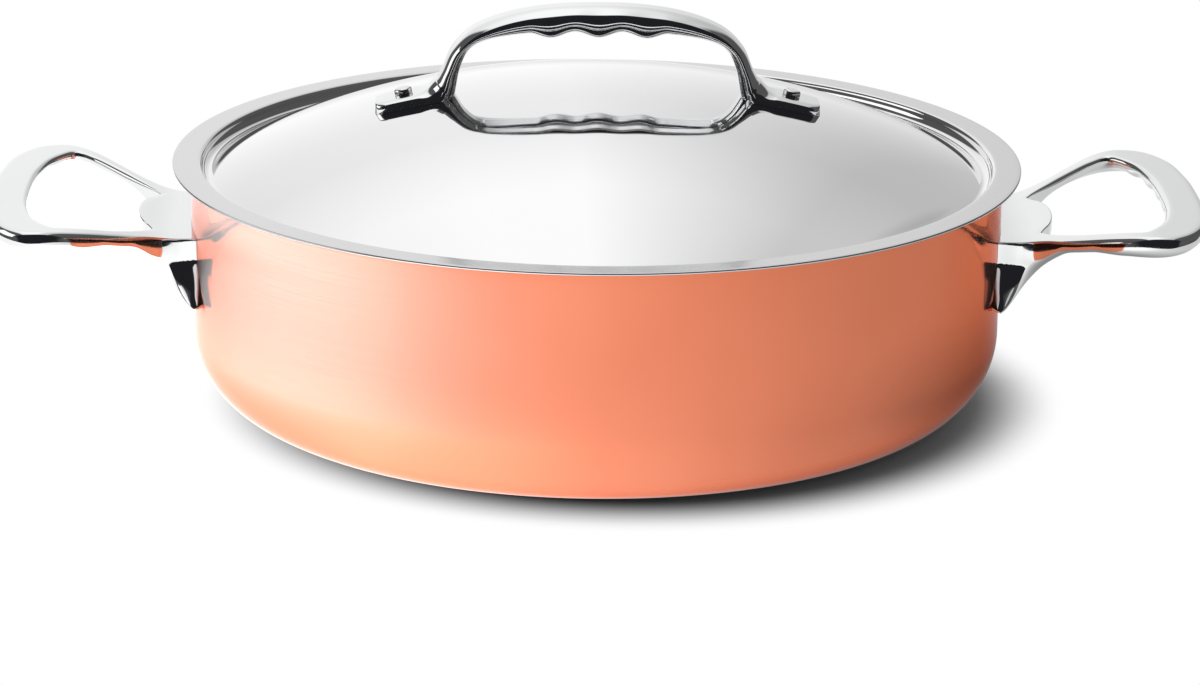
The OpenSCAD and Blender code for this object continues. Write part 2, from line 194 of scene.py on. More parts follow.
def arc(cx, cz, r, start, end, step):
    """Points of an arc from angle start to angle end, about step apart, in degrees."""
    n = max(2, int(math.ceil(abs(end - start) / step)))
    angles = [math.radians(start + (end - start) * i / n) for i in range(n + 1)]
    return [(cx + r * math.cos(a), cz + r * math.sin(a)) for a in angles]


def line(a, b, step):
    """Points from a to b, both included, about step apart."""
    n = max(1, int(math.ceil(math.dist(a, b) / step)))
    return [(a[0] + (b[0] - a[0]) * i / n, a[1] + (b[1] - a[1]) * i / n) for i in range(n + 1)]


def joined(*runs):
    """One run of points from several, without the points that they repeat."""
    out = []
    for run in runs:
        for p in run:
            if not out or math.dist(out[-1], p) > SAME:
                out.append(p)
    return out


def revolve(name, outline, material, sides):
    """A closed outline of (radius, height) points, turned round the Z axis."""
    if math.dist(outline[0], outline[-1]) < SAME:
        outline = outline[:-1]
    points, index = [], []
    for r, z in outline:
        if r < SAME:
            index.append([len(points)] * sides)
            points.append((0.0, 0.0, z))
            continue
        index.append([len(points) + s for s in range(sides)])
        for s in range(sides):
            a = 2 * math.pi * s / sides
            points.append((r * math.cos(a), r * math.sin(a), z))
    faces = []
    for low, high in zip(index, index[1:] + index[:1]):
        for s in range(sides):
            t = (s + 1) % sides
            loop = [low[s], low[t], high[t], high[s]]
            face = [v for k, v in enumerate(loop) if v != loop[k - 1]]
            if len(set(face)) > 2:
                faces.append(face)
    return new_object(name, points, faces, material)


def loft(name, rings, closed, material):
    """Rings of equal counts of points, skinned with quads, and capped if not closed."""
    count, n = rings.shape[:2]
    faces = []
    for i in range(count if closed else count - 1):
        a, b = i * n, ((i + 1) % count) * n
        for j in range(n):
            k = (j + 1) % n
            faces.append([a + j, a + k, b + k, b + j])
    if not closed:
        faces.append(list(range(n - 1, -1, -1)))
        faces.append([(count - 1) * n + j for j in range(n)])
    return new_object(name, rings.reshape(-1, 3).tolist(), faces, material)


def cut(obj, cutter):
    """Takes the cutter away from obj with an exact boolean, then removes it."""
    modifier = obj.modifiers.new("cut", "BOOLEAN")
    modifier.operation = "DIFFERENCE"
    modifier.solver = "EXACT"
    modifier.object = cutter
    depsgraph = bpy.context.evaluated_depsgraph_get()
    mesh = bpy.data.meshes.new_from_object(obj.evaluated_get(depsgraph))
    obj.modifiers.clear()
    obj.data = mesh
    bpy.data.objects.remove(cutter)
    finish_mesh(obj)


def place(obj, body, slot, *nodes):
    """obj rides on body and stands for the CAD nodes; slot is not used."""
    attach(obj, body)
    if nodes:
        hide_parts(*nodes)


# Curves and sections
def ease(t):
    """Goes smoothly from 0 to 1 as t does."""
    c = np.clip(t, 0.0, 1.0)
    return c * c * (3 - 2 * c)


def blend(a, b, t):
    """From a to b as t goes from 0 to 1."""
    return a + (b - a) * t


def bulge(v, share):
    """v from -1 to 1, drawn out to the ends: the lower the share, the squarer."""
    return np.sign(v) * np.abs(v) ** share


def on_curve(knots, t):
    """Between the middle two of four knots, at share t, on a smooth curve."""
    a, b, c, d = knots
    return (
        b
        + (c - a) * t / 2
        + (2 * a - 5 * b + 4 * c - d) * t * t / 2
        + (3 * b - a - 3 * c + d) * t**3 / 2
    )


def all_rows(rows, odd, steps, finer):
    """The rows and finer times as many as steps says between them, on a smooth curve.
    Past both ends it goes on through them for a share where odd is 1, and turns back
    for one where odd is 0."""
    rows, odd = np.array(rows, float), np.array(odd, float)
    before = rows[1] + 2 * odd * (rows[0] - rows[1])
    after = rows[-2] + 2 * odd * (rows[-1] - rows[-2])
    knots = np.vstack([before, rows, after])
    out = []
    for k, count in enumerate(steps):
        shares = np.arange(count * finer) / (count * finer)
        out += [on_curve(knots[k : k + 4], t) for t in shares]
    out.append(rows[-1])
    return out


# Sections of half a side handle, from the middle of its end bar to the middle of its
# web: outer edge along the wall and off it, turn, widths of end bar, arms and web,
# thickness at the outer edge, the inner edge's share of it, foot, rounding of the
# upper and of the lower outer edge
GRIP_SHARES = [
    [0, 1, 0, 1, 0, 0, 0.96, 0.66, 0, 1, 1.4],
    [0.41, 1.018, 0.02, 1.02, 0, 0, 0.98, 0.64, 0, 1, 1.4],
    [0.728, 1.043, 0.09, 1.1, 0, 0, 1.06, 0.56, 0, 1, 1.6],
    [0.95, 1.01, 0.235, 0.6, 0.7, 0, 1.24, 0.46, 0, 1, 1.8],
    [1, 0.88, 0.38, 0.1, 0.98, 0, 1.38, 0.41, 0, 1, 1.7],
    [0.92, 0.69, 0.55, 0, 0.84, 0, 1.22, 0.46, 0, 0.9, 1.5],
    [0.775, 0.485, 0.7, 0, 0.7, 0, 0.84, 0.75, 0.6, 0.75, 1.4],
    [0.635, 0.305, 0.745, 0, 0.72, 0, 0.7, 1, 1, 0.5, 1.6],
    [0.56, 0.2, 0.77, 0, 0.84, 0, 0.66, 1, 1, 0.3, 1.6],
    [0.53, 0.1, 0.81, 0, 0.5, 0.42, 0.66, 1, 1, 0.2, 1.4],
    [0.5, -0.04, 0.88, 0, 0, 1.12, 0.66, 1, 1, 0.18, 1],
    [0.4, -0.08, 0.92, 0, 0, 1.27, 0.66, 1, 0.9, 0.18, 0.8],
    [0.28, -0.08, 0.95, 0, 0, 1.32, 0.66, 1, 0.1, 0.18, 0.5],
    [0, -0.08, 1, 0, 0, 1.34, 0.66, 1, 0, 0.18, 0.5],
]
GRIP_ODD = [1, 0, 1, 0, 0, 0, 0, 0, 0, 0, 0]
GRIP_STEPS = [8, 5, 4, 3, 2, 2, 2, 2, 2, 3, 3, 2, 2]

# Sections of half the bow, from its middle to a tab: its upper edge and its lower
# edge, each across the bow and up it
BOW_SHARES = [
    [0, 1, 0, 0],
    [0.3, 0.975, 0.29, -0.007],
    [0.57, 0.876, 0.55, -0.042],
    [0.785, 0.703, 0.74, -0.095],
    [0.915, 0.456, 0.84, -0.219],
    [0.98, 0.18, 0.885, -0.481],
    [1.02, 0.06, 0.915, -0.84],
]
BOW_ODD = [1, 0, 1, 0]
BOW_STEPS = [9, 7, 5, 4, 3, 3]

# Half of the bow's section, from its lower edge up: place up it and share of the depth
KEEL_SHARES = [
    [0, 0],
    [0, 0.25],
    [0.05, 0.42],
    [0.18, 0.52],
    [0.29, 0.57],
    [0.345, 0.75],
    [0.39, 0.94],
    [0.5, 1],
    [0.66, 0.975],
    [0.82, 0.87],
    [0.94, 0.62],
    [1, 0.3],
    [1, 0],
]
KEEL_ODD = [0, 1]

# Where an arm of the bow flares into its tab, in tab thicknesses: lower edge out from
# the arm's inner side, upper edge out from its outer side, rise of the upper edge
# above the dome; then how round the section is, and how far it is keeled
FLARE = [
    (0.15, 0.4, 1.55, 0.8, 0.8),
    (0.8, 0.85, 1.18, 0.6, 0.4),
    (1.7, 1.35, 1.04, 0.45, 0.1),
]
# A tab's start out from the arm and its sections back from its end, in tab
# thicknesses, with the share of the depth that each has left, and their roundness
TAB_START = 1.85
TAB_ENDS = [(2.0, 1.0), (1.0, 0.99), (0.5, 0.93), (0.15, 0.82), (0.0, 0.66)]
TAB_ROUND = 0.32


def wall_x(y):
    """The wall's outside at this distance from the middle of a side handle."""
    return np.sqrt(WALL_R**2 - np.minimum(np.abs(y), WALL_R) ** 2)


def foot_fall(off):
    """Depth of a whole foot below the web's underside, at a distance off the wall."""
    s = np.clip(off / FOOT_REACH, 0.0, 1.0)
    return FOOT_DROP * (1 - s) ** FOOT_FALL_SHARE * (1 + FOOT_FILL_SHARE * s)


def foot_lean(off, drop):
    """How far a foot leans out along the wall, below its straight upper part."""
    s = np.clip(off / (FOOT_REACH * FOOT_LEAN_SHARE), 0.0, 1.0)
    low = np.maximum(drop / FOOT_DROP - FOOT_STRAIGHT_SHARE, 0) / (1 - FOOT_STRAIGHT_SHARE)
    return FOOT_SPLAY * low**FOOT_LEAN_POWER * (1 + np.cos(math.pi * s)) / 2


def grip_marks(width, high_r, low_r):
    """Round a section of a side handle: places across it from the inner edge, places
    up its height, and depths of the rounding there."""
    high, low = high_r / width, low_r / width
    arcs = [(math.sin(a), math.cos(a)) for a in np.radians(np.linspace(0, 90, EDGE_FINE + 1))]
    side = np.linspace(0, 1, EDGE_FINE + 2)[1:-1]
    # The outer side is the tallest, so it has more points
    tall = np.linspace(0, 1, 3 * EDGE_FINE + 2)[1:-1]
    marks = (
        [(1 - high * (1 - c), 1, high_r * (1 - s)) for s, c in arcs]
        + [(blend(1 - high, high, t), 1, 0) for t in side]
        + [(high * (1 - s), 1, high_r * (1 - c)) for s, c in arcs]
        + [(high * (1 - c), 0, -high_r * (1 - s)) for s, c in arcs]
        + [(blend(high, 1 - low, t), 0, 0) for t in side]
        + [(1 - low * (1 - s), 0, -low_r * (1 - c)) for s, c in arcs]
        + [(1, t, blend(-low_r, high_r, t)) for t in tall]
    )
    return np.array(marks).T


def finger_wave(y):
    """Rise and fall of the underside of a side handle's end bar, for the fingers."""
    return (
        FINGER_DEPTH
        / 4
        * np.cos(2 * math.pi * y / FINGER_PITCH)
        * ease((HANDLE_W * FINGER_END_SHARE - np.abs(y)) / FINGER_PITCH)
    )


def grip_ring(row):
    """Points of one section of a side handle."""
    along, off_wall, turn, bar, arm, web, thick, inner_thick, foot, high_edge, low_edge = row
    outer_y = along * HANDLE_W / 2
    outer = np.array([wall_x(outer_y) + off_wall * HANDLE_REACH, outer_y])
    width = bar * GRIP_BAR_W + arm * GRIP_ARM_W + web * WEB_W
    heading = math.pi * (1 + turn)
    inner = outer + width * np.array([math.cos(heading), math.sin(heading)])
    outer_t = thick * GRIP_T
    inner_t = inner_thick * outer_t
    edge_r = high_edge * GRIP_EDGE_R
    high_r = min(edge_r, inner_t * HIGH_INNER_SHARE, width * HIGH_WIDTH_SHARE)
    deep = outer_t + foot * float(foot_fall(off_wall * HANDLE_REACH))
    edge_r = low_edge * GRIP_EDGE_R
    low_r = min(edge_r, (deep - high_r) * LOW_DEPTH_SHARE, width * LOW_WIDTH_SHARE)
    across, up, depth = grip_marks(width, high_r, low_r)
    p = inner + (outer - inner) * across[:, None]
    off = p[:, 0] - wall_x(p[:, 1])
    top = BRACKET_Z + GRIP_RISE * ease((p[:, 0] - WALL_R) / (RISE_END_SHARE * HANDLE_REACH))
    wave = bar * finger_wave(p[:, 1]) * (1 - across)
    bottom = top - blend(inner_t, outer_t, across) - foot * foot_fall(off) + wave
    z = blend(bottom, top, up) - depth
    # The outer side is crowned: its upper and lower edges draw in
    height = np.clip((z - bottom) / (top - bottom), 0.0, 1.0)
    draw = GRIP_CROWN * (1 - np.sin(math.pi * height)) * ease(across)
    p = p - (outer - inner) / width * draw[:, None]
    lean = foot * foot_lean(off, top - outer_t - z)
    return np.stack([p[:, 0], p[:, 1] + lean, z], 1)


def grip_rings():
    """Rings all round the side handle on the right, through end bar, arms and web."""
    rows = all_rows(GRIP_SHARES, GRIP_ODD, GRIP_STEPS, CAST_FINER)
    half = np.array([grip_ring(row) for row in rows])
    return np.concatenate([half, half[-2:0:-1] * MIRROR_Y])


def dome_top(x):
    """Height of the dome's upper surface at a distance from its middle."""
    return DOME_Z + math.sqrt(DOME_R**2 - x * x)


def bow_ring(low, high, half_depth, share, keel):
    """Points of one section of the bow, from its lower edge up and down again: the
    keeled section where keel is 1, and a rounded block where it is 0."""
    steps = [1] * (len(KEEL_SHARES) - 1)
    section = np.array(all_rows(KEEL_SHARES, KEEL_ODD, steps, CAST_FINER))
    a = np.radians(np.linspace(-90, 90, len(section)))
    up = blend(0.5 + 0.5 * bulge(np.sin(a), share), section[:, 0], keel)
    wide = half_depth * blend(bulge(np.cos(a), share), np.clip(section[:, 1], 0, 1), keel)
    rear = np.stack([blend(low[0], high[0], up), wide, blend(low[1], high[1], up)], 1)
    return np.concatenate([rear, rear[-2:0:-1] * MIRROR_Y])


def bow_wave(x):
    """Height of the bumps between the fingers, under the bow."""
    end = FINGER_PITCH * BOW_FINGER_COUNT / 2
    return (
        BOW_FINGER_DEPTH
        * (0.5 + 0.5 * math.cos(2 * math.pi * x / FINGER_PITCH))
        * float(ease((end - abs(x)) / (FINGER_PITCH / 2)))
    )


def arch_ring(row):
    """Ring of the bow's bar or arm."""
    high_across, high_up, low_across, low_up = row
    high = (high_across * BOW_W / 2, APEX_Z + high_up * BOW_H)
    low_x = low_across * BOW_W / 2
    low_z = APEX_Z + BOW_H - BAR_T + low_up * BOW_H - bow_wave(low_x)
    leg = float(ease((high_across - LEG_START_SHARE) / LEG_RUN_SHARE))
    low = (blend(low_x, high[0] - ARM_T, leg * leg), low_z)
    return bow_ring(low, high, BOW_DEPTH / 2, 1.0, 1.0)


def tab_ring(low_x, high_x, rise, depth_share, roundness, keel):
    """Ring of the flare or the tab, from below the dome's surface to above it."""
    low = (low_x, dome_top(low_x) - TAB_T)
    high = (high_x, dome_top(high_x) + TAB_T * rise)
    return bow_ring(low, high, BOW_DEPTH / 2 * depth_share, roundness, keel)


def bow_rings():
    """Rings of the whole bow, from one tab's end to the other's."""
    half = [arch_ring(row) for row in all_rows(BOW_SHARES, BOW_ODD, BOW_STEPS, CAST_FINER)]
    arm_x = BOW_SHARES[-1][0] * BOW_W / 2
    inner_x = arm_x - ARM_T
    keys = [
        tab_ring(inner_x + TAB_T * low, arm_x + TAB_T * high, rise, 1.0, roundness, keel)
        for low, high, rise, roundness, keel in FLARE
    ]
    tab = [(arm_x + TAB_T * TAB_START, 1.0)]
    tab += [(TAB_SPAN / 2 - TAB_T * back, share) for back, share in TAB_ENDS]
    keys += [tab_ring(x, x, 1.0, share, TAB_ROUND, 0.0) for x, share in tab]
    # The flare and the tab are filled in by a smooth curve through their rings
    knots = [half[-2], half[-1], *keys, 2 * keys[-1] - keys[-2]]
    for k in range(len(keys)):
        half += [on_curve(knots[k : k + 4], i / CAST_FINER) for i in range(1, CAST_FINER + 1)]
    half = np.array(half)
    return np.concatenate([half[:0:-1] * MIRROR_X, half])


# Materials
# A noise's values mostly lie between these
NOISE_LOW, NOISE_HIGH = 0.3, 0.7


class Nodes:
    """Short calls for a material's or a world's node tree."""

    def __init__(self, tree):
        self.tree = tree
        tree.nodes.clear()

    def feed(self, socket, value):
        """Links a socket to a node's output, or sets it to a number, vector or colour."""
        if isinstance(value, bpy.types.NodeSocket):
            self.tree.links.new(value, socket)
        elif socket.type == "RGBA":
            socket.default_value = (*value, 1.0)
        else:
            socket.default_value = value

    def add(self, kind, *values, **settings):
        """A node with these settings, and with its first inputs fed."""
        node = self.tree.nodes.new("ShaderNode" + kind)
        for key, setting in settings.items():
            setattr(node, key, setting)
        for socket, value in zip(node.inputs, values):
            self.feed(socket, value)
        return node

    def math(self, operation, *values, clamp=False):
        return self.add("Math", *values, operation=operation, use_clamp=clamp).outputs[0]

    def times(self, a, b):
        return self.math("MULTIPLY", a, b)

    def plus(self, a, b):
        return self.math("ADD", a, b)

    def ramp(self, value, low, high, out_low=0.0, out_high=1.0):
        """Goes smoothly from out_low to out_high as value goes from low to high."""
        values = (value, low, high, out_low, out_high)
        return self.add("MapRange", *values, interpolation_type="SMOOTHSTEP").outputs[0]

    def vary(self, noise, low=0.0, high=1.0):
        """Goes from low to high as a noise does over its usual range."""
        return self.ramp(noise, NOISE_LOW, NOISE_HIGH, low, high)

    def noise(self, vector, scale, detail, roughness=0.5):
        node = self.add("TexNoise")
        self.feed(node.inputs["Vector"], vector)
        self.feed(node.inputs["Scale"], scale)
        self.feed(node.inputs["Detail"], detail)
        self.feed(node.inputs["Roughness"], roughness)
        return node.outputs["Fac"]

    def mix(self, factor, a, b, blend_type="MIX"):
        """The colour a, turned to b by factor."""
        node = self.add("Mix", factor, data_type="RGBA", blend_type=blend_type)
        colours = [socket for socket in node.inputs if socket.type == "RGBA"]
        for socket, value in zip(colours, (a, b)):
            self.feed(socket, value)
        return next(socket for socket in node.outputs if socket.type == "RGBA")

    def levels(self, value, stops):
        """A grey that follows the stops as value goes from -1 to 1."""
        share = self.plus(self.times(value, 0.5), 0.5)
        node = self.add("ValToRGB", share)
        elements = node.color_ramp.elements
        for i, (at, level) in enumerate(stops):
            position = at * 0.5 + 0.5
            # A new ramp has two elements
            element = elements[i] if i < 2 else elements.new(position)
            element.position = position
            element.color = (level, level, level, 1.0)
        return node.outputs["Color"]

    def rings(self, across, angle, per_metre, per_turn, detail, roughness):
        """A noise in fine rings round the Z axis."""
        vector = self.combine(self.times(across, per_metre), self.times(angle, per_turn), 0.0)
        return self.noise(vector, 1.0, detail, roughness)

    def xyz(self, vector):
        return self.add("SeparateXYZ", vector).outputs

    def combine(self, x, y, z):
        return self.add("CombineXYZ", x, y, z).outputs[0]

    def object_position(self):
        return self.add("TexCoord").outputs["Object"]

    def polar(self, position):
        """Radius of a point, its angle round the Z axis in turns, and its height."""
        x, y, z = self.xyz(position)
        radius = self.math("SQRT", self.plus(self.times(x, x), self.times(y, y)))
        angle = self.math("DIVIDE", self.math("ARCTAN2", y, x), 2 * math.pi)
        return radius, angle, z

    def sight(self, path):
        """1 for a ray straight from the camera or through clear matter, else 0."""
        return self.math("ADD", path["Is Camera Ray"], path["Is Transmission Ray"], clamp=True)

    def bump(self, height, strength, distance, normal=None):
        node = self.add("Bump")
        self.feed(node.inputs["Height"], height)
        self.feed(node.inputs["Strength"], strength)
        self.feed(node.inputs["Distance"], distance)
        if normal is not None:
            self.feed(node.inputs["Normal"], normal)
        return node.outputs[0]


# The noise from which the steels' polishing marks are at their roughest
MARKS_HIGH = 0.75

# The copper's plain colour, and the two that its patches lie between
COPPER_BASE = (0.8, 0.24, 0.13)
COPPER_DEEP = (0.82, 0.230, 0.117)
COPPER_PALE = (0.86, 0.255, 0.136)
COPPER_SHADER = {
    "Coat Weight": 1.0,
    "Coat Roughness": 0.55,
    "Coat IOR": 1.33,
    "Specular Tint": (0.95, 0.5, 0.4),
}
SHEET_BASE = (0.88, 0.88, 0.885)
FLANGE_BASE = (0.70, 0.70, 0.71)
FLANGE_ROUGHER = 0.16
# The flange's satin starts on the bend, between these distances from the skirt, in mm
SATIN_START, SATIN_FULL = 0.6, 1.4
# Share of the waves' bump that the polishing marks have
MARKS_SHARE = 0.6
# How far the brushed pieces' roughness goes down and up
BRUSHED_SPREAD = 0.06


def metal(name, base):
    """A material with a metal shader, its nodes, the shader's inputs and the position."""
    material = bpy.data.materials.new(name)
    material.use_nodes = True
    n = Nodes(material.node_tree)
    shader = n.add("BsdfPrincipled")
    n.add("OutputMaterial", shader.outputs[0])
    n.feed(shader.inputs["Base Color"], base)
    n.feed(shader.inputs["Metallic"], 1.0)
    return material, n, shader.inputs, n.object_position()


def darker(colour, share):
    return tuple(c * share for c in colour)


def copper_material():
    """Satin-polished copper under a clear lacquer."""
    material, n, inputs, position = metal("polished_copper", COPPER_BASE)
    for key, value in COPPER_SHADER.items():
        n.feed(inputs[key], value)
    radius, angle, z = n.polar(position)

    def polishing(per_turn, per_metre, **settings):
        """Lines round the wall: long along the angle, fine along the height."""
        vector = n.combine(n.times(angle, per_turn), radius, n.times(z, per_metre))
        return n.noise(vector, scale=1.0, **settings)

    lines = polishing(per_turn=3.0, per_metre=900.0, detail=4.0, roughness=0.6)
    patches = n.noise(position, scale=14.0, detail=2.0)
    n.feed(inputs["Base Color"], n.mix(n.vary(patches), COPPER_DEEP, COPPER_PALE))
    rough = n.plus(n.vary(lines, low=0.08, high=0.11), n.vary(patches, low=0.0, high=0.02))
    n.feed(inputs["Roughness"], rough)
    n.feed(inputs["Normal"], n.bump(lines, strength=0.06, distance=0.00004))
    # The lacquer follows finer lines, which spread its sheen up and down the wall
    fine = polishing(per_turn=9.0, per_metre=3200.0, detail=2.0)
    n.feed(inputs["Coat Normal"], n.bump(fine, strength=1.0, distance=0.00006))
    return material


def steel_material(name, base, rough, bump):
    """Mirror-polished steel with a faint unevenness and fine polishing marks."""
    material, n, inputs, position = metal(name, base)
    waves = n.noise(position, scale=38.0, detail=2.0)
    marks = n.noise(position, scale=260.0, detail=4.0, roughness=0.65)
    n.feed(inputs["Base Color"], n.mix(n.vary(waves), darker(base, 0.985), base))
    n.feed(inputs["Roughness"], n.ramp(marks, NOISE_LOW, MARKS_HIGH, *rough))
    uneven = n.bump(waves, strength=bump, distance=0.0002)
    marked = n.bump(marks, strength=bump * MARKS_SHARE, distance=0.00003, normal=uneven)
    n.feed(inputs["Normal"], marked)
    return material


def lid_material():
    """Pressed sheet, polished to a mirror, with faint marks that run round it."""
    material, n, inputs, position = metal("polished_sheet", SHEET_BASE)
    radius, angle, _ = n.polar(position)
    rings = n.rings(radius, angle, per_metre=700.0, per_turn=2.0, detail=3.0, roughness=0.6)
    # The flange is satin and a little greyer than the dome
    flange = n.ramp(radius, (SKIRT_R + SATIN_START) * MM, (SKIRT_R + SATIN_FULL) * MM)
    rough = n.plus(n.vary(rings, low=0.03, high=0.06), n.times(flange, FLANGE_ROUGHER))
    n.feed(inputs["Roughness"], rough)
    n.feed(inputs["Base Color"], n.mix(flange, SHEET_BASE, FLANGE_BASE))
    n.feed(inputs["Normal"], n.bump(rings, strength=0.03, distance=0.00003))
    return material


def brushed_material(name, base, rough, per_metre):
    """Steel turned or brushed in fine rings round the Z axis."""
    material, n, inputs, position = metal(name, base)
    radius, angle, z = n.polar(position)
    across = n.plus(radius, z)
    rings = n.rings(across, angle, per_metre, per_turn=4.0, detail=4.0, roughness=0.65)
    n.feed(inputs["Base Color"], n.mix(n.vary(rings), darker(base, 0.9), base))
    low, high = rough - BRUSHED_SPREAD, rough + BRUSHED_SPREAD
    n.feed(inputs["Roughness"], n.vary(rings, low, high))
    n.feed(inputs["Normal"], n.bump(rings, strength=0.12, distance=0.00005))
    return material


COPPER = copper_material()
CAST = steel_material("polished_casting", (0.86, 0.865, 0.87), rough=(0.03, 0.07), bump=0.08)
RIVET = steel_material("rivet_steel", (0.8, 0.8, 0.805), rough=(0.1, 0.18), bump=0.1)
SHEET = lid_material()
LINING = brushed_material("brushed_lining", (0.7, 0.7, 0.71), rough=0.3, per_metre=1400.0)
PLATE = brushed_material("turned_plate", (0.5, 0.5, 0.51), rough=0.36, per_metre=900.0)


# Sheet metal
def vessel_outline(r, corner, floor_z, top_z):
    """Outline of a round vessel from its axis to its top."""
    cx, cz = r - corner, floor_z + corner
    return joined(
        line((0.0, floor_z), (cx, floor_z), step=6.0),
        arc(cx, cz, corner, -90, 0, step=3.0),
        line((r, cz), (r, top_z), step=4.0),
    )


def build_body():
    """The copper wall and base, and the lining bonded to them."""
    edge_x, edge_z = WALL_R - RIM_EDGE_R, RIM_Z - RIM_EDGE_R
    outside = joined(
        vessel_outline(WALL_R, CORNER_R, PLATE_T, edge_z),
        arc(edge_x, edge_z, RIM_EDGE_R, 0, 90, step=10.0),
    )
    copper_floor = PLATE_T + COPPER_T
    lining_corner = CORNER_R - COPPER_T
    bond = vessel_outline(COPPER_INNER_R, lining_corner, copper_floor, RIM_Z)
    inside = vessel_outline(INNER_R, lining_corner - LINING_T, copper_floor + LINING_T, RIM_Z)
    shell = revolve("copper_wall", joined(outside, bond[::-1]), COPPER, WALL_SIDES)
    place(shell, "pot", "copper", "copper_shell")
    # The copper throws no red light into its own shadow on the floor
    shell.visible_diffuse = False
    lining = revolve("lining", joined(bond, inside[::-1]), LINING, WALL_SIDES)
    place(lining, "pot", "lining_steel", "steel_lining")


def build_plate():
    flat_r = PLATE_R - PLATE_EDGE_R
    outline = joined(
        line((0.0, 0.0), (flat_r, 0.0), step=5.0),
        arc(flat_r, PLATE_EDGE_R, PLATE_EDGE_R, -90, 0, step=15.0),
        line((PLATE_R, PLATE_EDGE_R), (PLATE_R, PLATE_T), step=1.0),
        line((PLATE_R, PLATE_T), (0.0, PLATE_T), step=5.0),
    )
    plate = revolve("magnetic_plate", outline, PLATE, PLATE_SIDES)
    place(plate, "pot", "plate_steel", "induction_plate")


def lid_surface(drop):
    """The lid's upper surface, or the one that lies drop below it, from the apex out."""
    dome, gutter = math.degrees(DOME_SLOPE), math.degrees(GUTTER_SLOPE)
    side = SKIRT_R + drop
    bend = FLANGE_BEND_R + LID_T - drop
    top = FLANGE_TOP_Z - drop
    return joined(
        arc(0.0, DOME_Z, DOME_R - drop, 90, 90 - dome, step=0.45),
        arc(SHOULDER_CX, SHOULDER_CZ, SHOULDER_R - drop, 90 - dome, 90 - gutter, step=1.0),
        arc(GUTTER_X, GUTTER_Z, GUTTER_R + drop, 270 - gutter, 360, step=8.0),
        line((side, GUTTER_Z), (side, top - bend), step=0.8),
        arc(side + bend, top - bend, bend, 180, 90, step=10.0),
        line((side + bend, top), (FLANGE_R - LID_T / 2, top), step=1.5),
    )


def build_lid():
    upper, lower = lid_surface(0.0), lid_surface(LID_T)
    edge_r = LID_T / 2
    edge = arc(FLANGE_R - edge_r, FLANGE_TOP_Z - edge_r, edge_r, 90, -90, step=15.0)
    lid = revolve("lid_sheet", joined(upper, edge, lower[::-1]), SHEET, LID_SIDES)
    place(lid, "lid", "lid_steel", "lid")


# Castings
def wall_cutter():
    """The pot's round body, taller than a foot of a side handle."""
    r, low, high = WALL_R + SEAT_GAP, 30.0, 100.0
    outline = [(0.0, low), (r, low), (r, high), (0.0, high)]
    return revolve("wall_cutter", outline, CAST, CUTTER_SIDES)


def build_side_handles():
    for name, flip in (("right", 1.0), ("left", MIRROR_X)):
        handle = loft(name + "_grip", grip_rings() * flip, True, CAST)
        cut(handle, wall_cutter())
        place(handle, "pot", "cast_steel", name + "_handle")


def dome_cutter():
    """The part of the dome's sphere that the bow could reach, closed below."""
    edge_angle, low_r, low_z = 72.0, 100.0, 60.0
    outline = joined(
        arc(0.0, DOME_Z, DOME_R + SEAT_GAP, 90, edge_angle, step=0.25),
        [(low_r, low_z), (0.0, low_z)],
    )
    return revolve("dome_cutter", outline, CAST, CUTTER_SIDES)


def build_bow():
    bow = loft("bow", bow_rings(), False, CAST)
    cut(bow, dome_cutter())
    place(bow, "lid", "cast_steel", "lid_handle")


def button(r, h):
    """Outline of a round head, from z = 0 up, with the upper half of its edge rounded."""
    edge = h / 2
    return joined(
        line((0.0, 0.0), (r, 0.0), step=1.0),
        line((r, 0.0), (r, h - edge), step=0.5),
        arc(r - edge, h - edge, edge, 0, 90, step=15.0),
        line((r - edge, h), (0.0, h), step=0.6),
    )


def build_side_rivets():
    """The four heads inside the pot."""
    seat = math.sqrt(INNER_R**2 - RIVET_HEAD_R**2) - SEAT_GAP
    outline = button(RIVET_HEAD_R, RIVET_HEAD_H)
    turns = {
        "right_front_rivet": -RIVET_ANGLE,
        "right_rear_rivet": RIVET_ANGLE,
        "left_front_rivet": RIVET_ANGLE + math.pi,
        "left_rear_rivet": -RIVET_ANGLE + math.pi,
    }
    for node, turn in turns.items():
        head = revolve(node + "_head", outline, RIVET, RIVET_SIDES)
        # The head's own +Z points to the pot's axis
        matrix = (
            Matrix.Rotation(turn, 4, "Z")
            @ Matrix.Translation((seat * MM, 0, RIVET_Z * MM))
            @ Matrix.Rotation(-math.pi / 2, 4, "Y")
        )
        head.data.transform(matrix)
        place(head, "pot", "rivet_steel", node)


def lid_button(name, side, height, flip, start):
    """A round head on the dome, start above its surface, upside down if flip is -1."""
    outline = button(LID_RIVET_HEAD_R, height)
    head = revolve(name, outline, RIVET, RIVET_SIDES)
    matrix = (
        Matrix.Translation((0, 0, DOME_Z * MM))
        @ Matrix.Rotation(side * LID_RIVET_ANGLE, 4, "Y")
        @ Matrix.Translation((0, 0, (DOME_R + start) * MM))
        @ Matrix.Diagonal((1, 1, flip, 1))
    )
    head.data.transform(matrix)
    finish_mesh(head)
    return head


def build_lid_rivets():
    """Both heads on the bow's tabs, and both flatter tails under the dome."""
    for name, side in (("right", 1), ("left", -1)):
        rivet = name + "_lid_rivet"
        head = lid_button(rivet + "_head", side, LID_RIVET_HEAD_H, 1, TAB_T + SEAT_GAP)
        place(head, "lid", "rivet_steel", rivet)
        tail = lid_button(rivet + "_tail", side, LID_RIVET_HEAD_H / 2, -1, -LID_T - SEAT_GAP)
        place(tail, "lid", "rivet_steel")
